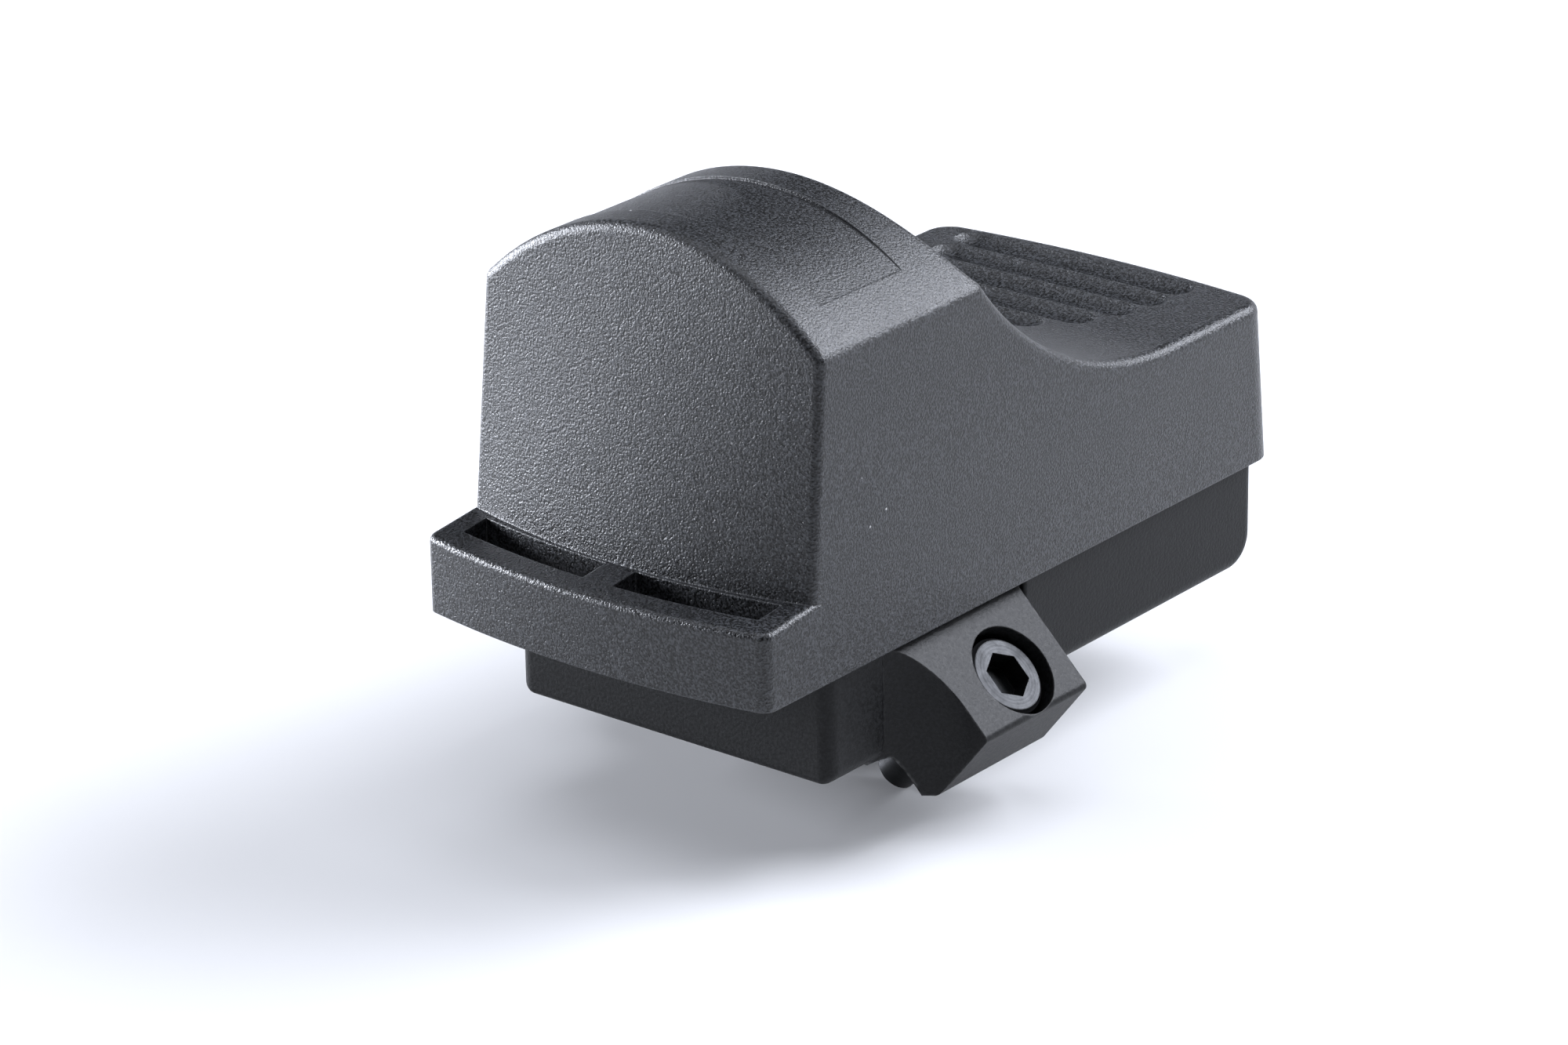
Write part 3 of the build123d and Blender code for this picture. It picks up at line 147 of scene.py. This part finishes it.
# ---------------------------------------------------------------- materials of the outside
COVER_GRAIN = 0.15 * MM
COVER_PITS = 0.17 * MM
COVER_GRAIN_DEPTH = 0.024 * MM
COVER_PATCHES = 7 * MM
COVER_EDGE = 0.14 * MM
# Radius of the lighter cover edges, which are partly wear and partly painted highlight.
COVER_EDGE_WEAR_AND_HIGHLIGHT = 0.3 * MM
DUST_SPACING = 2.3 * MM
DUST_PATCHES = 9 * MM
HANDLED_BELOW = 12 * MM
HANDLED_ABOVE = 25 * MM
PAINT_WAVES = 2.2 * MM
PAINT_WAVE_DEPTH = 0.05 * MM
PAINT_EDGE = 0.15 * MM
# Radius and patch size of the lighter paint edges, which are partly rubbed paint and partly painted
# highlight.
PAINT_EDGE_WEAR_AND_HIGHLIGHT = 0.35 * MM
PAINT_RUB_AND_HIGHLIGHT_PATCH = 0.7 * MM
TURNING_MARKS = 0.12 * MM
TURNING_DEPTH = 0.008 * MM
STEEL_MOTTLE = 1.1 * MM
STEEL_EDGE = 0.08 * MM


def cover_plastic():
    """Black moulded plastic with a spark-eroded grain, cold semi-matt sheen, edges lightened partly as wear
    and partly as painted highlight, and a little dust.
    """
    m = Recipe("cover_plastic")
    grain = m.noise(COVER_GRAIN, detail=2.0, rough=0.6)
    pits = m.cells(COVER_PITS, feature="SMOOTH_F1")
    broad = m.noise(COVER_PATCHES, detail=3.0)
    height = m.math("ADD", m.remap(grain, 0.3, 0.7), m.math("MULTIPLY", pits, 0.9))
    normal = m.bump(height, COVER_GRAIN_DEPTH, 1.0, m.soft_edges(COVER_EDGE))
    # Edges and groove ridges blended towards a lighter grey: partly wear, partly a painted highlight where
    # they catch light.
    edge = m.edge_mask(COVER_EDGE_WEAR_AND_HIGHLIGHT, 0.03, 0.3)
    speck = m.remap(m.cells(DUST_SPACING), 0.045, 0.025)
    scatter = m.remap(m.noise(DUST_PATCHES, detail=2.0), 0.52, 0.6)
    dark = m.blend(m.remap(height, 0.7, 1.25), grey(0.001, 0.04), grey(0.040, 0.05))
    wear_and_highlight = m.blend(m.math("MULTIPLY", edge, 0.6), dark, grey(0.08, 0.03))
    dusty = m.blend(m.math("MULTIPLY", m.math("MULTIPLY", speck, scatter), 0.8), wear_and_highlight, grey(0.5))
    handled = m.remap(m.height(), HANDLED_BELOW, HANDLED_ABOVE, -0.08, 0.02)
    rough = m.math("ADD", m.remap(grain, 0.3, 0.7, 0.32, 0.48), m.remap(broad, 0.3, 0.7, -0.02, 0.03))
    rough = m.math("ADD", rough, handled)
    return m.set(Base_Color=dusty, Roughness=rough, Normal=normal, Specular_IOR_Level=0.5)


def cast_paint(name, base, grain_size, depth, rough_low, rough_high, specular=0.5):
    """Satin black finish over cast or blasted metal, lighter in patches on its edges, partly as rubbed paint
    and partly as painted highlight.
    """
    m = Recipe(name)
    grain = m.noise(grain_size, detail=4.0, rough=0.6)
    waves = m.noise(PAINT_WAVES, detail=3.0)
    wavy = m.bump(waves, PAINT_WAVE_DEPTH, 0.35, m.soft_edges(PAINT_EDGE))
    normal = m.bump(grain, depth, 1.0, wavy)
    # Edges lightened in patches towards pale grey: partly rubbed paint, partly a painted edge highlight.
    edge = m.edge_mask(PAINT_EDGE_WEAR_AND_HIGHLIGHT, 0.03, 0.35)
    rub_and_highlight = m.math("MULTIPLY", edge, m.remap(m.noise(PAINT_RUB_AND_HIGHLIGHT_PATCH, detail=4.0), 0.4, 0.6))
    body = m.blend(m.remap(grain, 0.4, 0.65), grey(base, 0.03), grey(base * 4.0, 0.03))
    colour = m.blend(m.math("MULTIPLY", rub_and_highlight, 0.5), body, grey(0.16))
    rough = m.remap(grain, 0.25, 0.75, rough_low, rough_high)
    return m.set(Base_Color=colour, Roughness=rough, Normal=normal, Specular_IOR_Level=specular)


def turned_steel(name, colour, rough, centre=None, axis=None):
    """Steel with fine turning marks round its own axis where one is given, and a faint mottle in tint and
    roughness.
    """
    m = Recipe(name)
    ring_place = m.place
    if centre is not None:
        shifted = m.node("ShaderNodeVectorMath", {0: m.place, 1: centre}, operation="SUBTRACT").outputs[0]
        dotted = m.node("ShaderNodeVectorMath", {0: shifted, 1: axis}, operation="DOT_PRODUCT")
        along = dotted.outputs["Value"]
        scaled = m.node("ShaderNodeVectorMath", {0: axis, "Scale": along}, operation="SCALE").outputs[0]
        radial = m.node("ShaderNodeVectorMath", {0: shifted, 1: scaled}, operation="SUBTRACT").outputs[0]
        radius = m.node("ShaderNodeVectorMath", {0: radial}, operation="LENGTH").outputs["Value"]
        ring_place = m.node("ShaderNodeCombineXYZ", {"X": radius, "Y": along}).outputs[0]
    rings = m.noise(TURNING_MARKS, detail=3.0, place=ring_place)
    mottled = m.noise(STEEL_MOTTLE, detail=5.0, rough=0.65)
    normal = m.bump(rings, TURNING_DEPTH, 0.6, m.soft_edges(STEEL_EDGE))
    tint = m.blend(m.remap(mottled, 0.35, 0.7), colour, shade(colour, 0.65))
    roughness = m.math("ADD", m.remap(rings, 0.3, 0.7, rough - 0.06, rough + 0.08),
                       m.remap(mottled, 0.4, 0.7, 0.0, 0.08))
    return m.set(Base_Color=tint, Roughness=roughness, Normal=normal, Metallic=1.0)


# ---------------------------------------------------------------- materials of the inside
def rubber():
    """Matt black rubber."""
    m = Recipe("black_rubber")
    grain = m.noise(0.12 * MM, detail=3.0)
    normal = m.bump(grain, 0.02 * MM, 0.6)
    return m.set(Base_Color=m.blend(grain, grey(0.012), grey(0.024)), Normal=normal,
                 Roughness=m.remap(grain, 0.3, 0.7, 0.6, 0.8))


def coated_glass(name, tint, colour_weight):
    """Clear glass with a coloured reflecting coat."""
    m = Recipe(name)
    swirl = m.noise(6 * MM, detail=1.0)
    normal = m.bump(swirl, 0.01 * MM, 0.1)
    facing = m.node("ShaderNodeLayerWeight", {"Blend": 0.35}).outputs["Facing"]
    coat = m.blend(m.math("MULTIPLY", facing, colour_weight), (0.93, 0.95, 0.97, 1.0), tint)
    return m.set(Base_Color=coat, Roughness=m.remap(swirl, 0.3, 0.7, 0.02, 0.04), Normal=normal,
                 Transmission_Weight=1.0, IOR=1.52)


def solder_mask():
    """Green circuit board with faint copper traces under the mask."""
    m = Recipe("board_green")
    lanes = m.node("ShaderNodeTexBrick", {"Vector": m.place, "Scale": 420.0, "Mortar Size": 0.05,
                                          "Color1": grey(0.0), "Color2": grey(0.0), "Mortar": grey(1.0)})
    weave = m.noise(0.35 * MM, detail=3.0)
    trace = m.math("MULTIPLY", lanes.outputs["Color"], 0.6)
    mask = m.blend(weave, (0.006, 0.07, 0.022, 1.0), (0.012, 0.12, 0.04, 1.0))
    colour = m.blend(trace, mask, (0.03, 0.22, 0.07, 1.0))
    normal = m.bump(m.math("ADD", trace, m.math("MULTIPLY", weave, 0.2)), 0.03 * MM, 0.6)
    return m.set(Base_Color=colour, Roughness=m.remap(weave, 0.3, 0.7, 0.25, 0.4), Normal=normal)


def moulded(name, low, high, rough):
    """Plain moulded plastic or epoxy with a fine grain."""
    m = Recipe(name)
    grain = m.noise(0.15 * MM, detail=3.0)
    normal = m.bump(grain, 0.01 * MM, 0.5, m.soft_edges(0.08 * MM))
    return m.set(Base_Color=m.blend(grain, low, high), Normal=normal,
                 Roughness=m.remap(grain, 0.3, 0.7, rough - 0.05, rough + 0.08))


def machined(name, colour, rough):
    """Milled metal with straight feed marks."""
    m = Recipe(name)
    stretched = m.node("ShaderNodeMapping", {"Vector": m.place, "Scale": (1.0, 14.0, 1.0)}).outputs[0]
    marks = m.noise(0.5 * MM, detail=4.0, place=stretched)
    stain = m.noise(2.0 * MM, detail=4.0)
    normal = m.bump(marks, 0.008 * MM, 0.6, m.soft_edges(0.1 * MM))
    tint = m.blend(m.remap(stain, 0.35, 0.7), colour, shade(colour, 0.7))
    return m.set(Base_Color=tint, Metallic=1.0,
                 Normal=normal, Roughness=m.remap(marks, 0.3, 0.7, rough - 0.05, rough + 0.1))


DIAGONAL = sqrt(0.5)
head_centre = {}
for side, name in ((1, "near"), (-1, "far")):
    low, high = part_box(f"ear_washer_{name}")
    head_centre[name] = ((low + high) / 2, Vector((side * DIAGONAL, 0, DIAGONAL)))


def axial_steel(side, part, colour, rough):
    """Turned steel about the axis of the near or far ear screw."""
    return turned_steel(f"{side}_{part}_steel", colour, rough, *head_centre[side])


DARK_STEEL = grey(0.040, 0.02)
PALE_STEEL = grey(0.52)
screw_steel = turned_steel("screw_steel", DARK_STEEL, 0.32)
pale_steel = turned_steel("pale_steel", PALE_STEEL, 0.28)
black_rubber = rubber()
clear_glass = coated_glass("clear_glass", (0.8, 0.9, 1.0, 1.0), 0.3)
housing_black = cast_paint("housing_black", 0.006, 0.09 * MM, 0.010 * MM, 0.42, 0.56)
contact_gold = machined("contact_bronze", (0.83, 0.62, 0.28, 1.0), 0.24)

looks = {
    "protective_cover": (cover_plastic(), "cover_plastic"),
    "cover_magnet": (pale_steel, "magnet"),
    "mount_base": (cast_paint("base_paint", 0.003, 0.22 * MM, 0.034 * MM, 0.40, 0.56, 0.20), "base_paint"),
    "ear_screw_near": (axial_steel("near", "screw", DARK_STEEL, 0.45), "screw_steel"),
    "ear_screw_far": (axial_steel("far", "screw", DARK_STEEL, 0.40), "screw_steel"),
    "ear_washer_near": (axial_steel("near", "washer", PALE_STEEL, 0.3), "washer_steel"),
    "ear_washer_far": (axial_steel("far", "washer", PALE_STEEL, 0.3), "washer_steel"),
    "base_gasket": (black_rubber, "black_rubber"),
    "sight_housing": (housing_black, "housing_black"),
    "housing_screws": (screw_steel, "screw_steel"),
    "locating_pins": (pale_steel, "pin_steel"),
    "lens": (coated_glass("lens_glass", (0.85, 0.35, 0.25, 1.0), 0.8), "lens_glass"),
    "lens_gasket": (black_rubber, "black_rubber"),
    "lens_retainer": (housing_black, "housing_black"),
    "emitter_window": (clear_glass, "clear_glass"),
    "light_guide": (moulded("clear_plastic", grey(0.55), grey(0.7), 0.15), "clear_plastic"),
    "circuit_board": (solder_mask(), "board_green"),
    "board_screws": (pale_steel, "screw_steel"),
    "controller_chip": (moulded("chip_black", grey(0.015), grey(0.03), 0.5), "chip_black"),
    "reed_switch": (clear_glass, "clear_glass"),
    "light_sensor": (moulded("sensor_plastic", grey(0.5), grey(0.65), 0.2), "clear_plastic"),
    "battery": (turned_steel("cell_steel", grey(0.6), 0.26), "cell_steel"),
    "battery_spring_contact": (contact_gold, "contact_bronze"),
    "battery_ground_contact": (contact_gold, "contact_bronze"),
    "windage_seal": (black_rubber, "black_rubber"),
    "lock_screws": (screw_steel, "screw_steel"),
    "windage_screw": (screw_steel, "screw_steel"),
    "windage_carriage": (machined("carriage_brass", (0.72, 0.52, 0.24, 1.0), 0.28), "carriage_brass"),
    "windage_spring": (pale_steel, "spring_steel"),
    "elevation_screw": (screw_steel, "screw_steel"),
    "elevation_spring": (pale_steel, "spring_steel"),
    "emitter_block": (machined("block_aluminium", grey(0.4), 0.35), "block_aluminium"),
    "emitter_diode": (moulded("diode_epoxy", (0.45, 0.02, 0.015, 1.0), (0.55, 0.04, 0.02, 1.0), 0.12),
                      "diode_epoxy"),
    "emitter_flex": (moulded("flex_amber", (0.5, 0.2, 0.03, 1.0), (0.6, 0.28, 0.05, 1.0), 0.25),
                     "flex_amber"),
}
for name, (material, slot_name) in looks.items():
    piece = nodes[name]
    piece.data.materials.clear()
    piece.data.materials.append(material)


# ---------------------------------------------------------------- floor, light and camera
FLOOR_GAP = 0.05 * MM
FLOOR_SIZE = 3.0
COLD_LIGHT = (0.93, 0.965, 1.06)
WORLD_COLOUR = (0.72, 0.745, 0.80, 1.0)
WORLD_STRENGTH = 0.06
AIM = Vector((0, 0, 12 * MM))

bpy.ops.mesh.primitive_plane_add(size=FLOOR_SIZE, location=(0, 0, cad_low.z - FLOOR_GAP))
floor = bpy.context.object
floor.name = "floor"
paper = Recipe("floor_paper")
floor.data.materials.append(paper.set(Base_Color=grey(0.60), Roughness=0.9, Specular_IOR_Level=0.1))
floor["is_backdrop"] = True


def direction(azimuth, elevation):
    """Unit vector towards an azimuth counted from -Y and an elevation, in degrees."""
    az, el = radians(azimuth), radians(elevation)
    return Vector((sin(az) * cos(el), -cos(az) * cos(el), sin(el)))


def softbox(name, azimuth, elevation, distance, width, height, power):
    """Rectangular area light aimed at the object, placed by direction and distance."""
    back = direction(azimuth, elevation)
    data = bpy.data.lights.new(name, "AREA")
    data.shape = "RECTANGLE"
    data.size = width
    data.size_y = height
    data.energy = power
    data.color = COLD_LIGHT
    lamp = bpy.data.objects.new(name, data)
    bpy.context.scene.collection.objects.link(lamp)
    lamp.location = AIM + back * distance
    lamp.rotation_euler = (-back).to_track_quat("-Z", "Y").to_euler()


# name, azimuth and elevation in degrees, distance, width and height in metres, power in watts
softbox("key_left", -74, 9, 0.47, 0.30, 0.12, 6.4)
softbox("rim_right", 145, 37, 0.60, 0.42, 0.36, 7.6)
softbox("back_strip", 214, 3, 0.70, 0.70, 0.07, 0.35)
softbox("overhead", -20, 84, 0.9, 0.9, 0.9, 6.3)

world = bpy.data.worlds.new("studio")
world.use_nodes = True
world.node_tree.nodes["Background"].inputs["Color"].default_value = WORLD_COLOUR
world.node_tree.nodes["Background"].inputs["Strength"].default_value = WORLD_STRENGTH
bpy.context.scene.world = world
bpy.context.scene.view_settings.view_transform = "Standard"

IMAGE_WIDTH = 2000
SENSOR_WIDTH = 36.0
AZIMUTH = 39.01
ELEVATION = 22.0
ROLL = 0.92
DISTANCE = 361.72 * MM
FOCAL_PIXELS = 7406.54
RIGHT_OFFSET = 8.94 * MM
UP_OFFSET = 7.08 * MM
SIGHT_ORIGIN = Vector((0, -25.7 * MM, 7.85 * MM))

roll = radians(ROLL)
right = Vector((cos(radians(AZIMUTH)), sin(radians(AZIMUTH)), 0))
back = direction(AZIMUTH, ELEVATION)
up = back.cross(right)
location = SIGHT_ORIGIN + back * DISTANCE + right * RIGHT_OFFSET + up * UP_OFFSET
rolled_right = right * cos(roll) - up * sin(roll)
rolled_up = right * sin(roll) + up * cos(roll)

camera_data = bpy.data.cameras.new("camera")
camera_data.sensor_width = SENSOR_WIDTH
camera_data.lens = FOCAL_PIXELS * SENSOR_WIDTH / IMAGE_WIDTH
camera_data.clip_start = 0.01
camera_data.clip_end = 20.0
camera = bpy.data.objects.new("camera", camera_data)
bpy.context.scene.collection.objects.link(camera)
turned = Matrix((rolled_right, rolled_up, back)).transposed().to_4x4()
camera.matrix_world = Matrix.Translation(location) @ turned
bpy.context.scene.camera = camera

low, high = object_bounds()
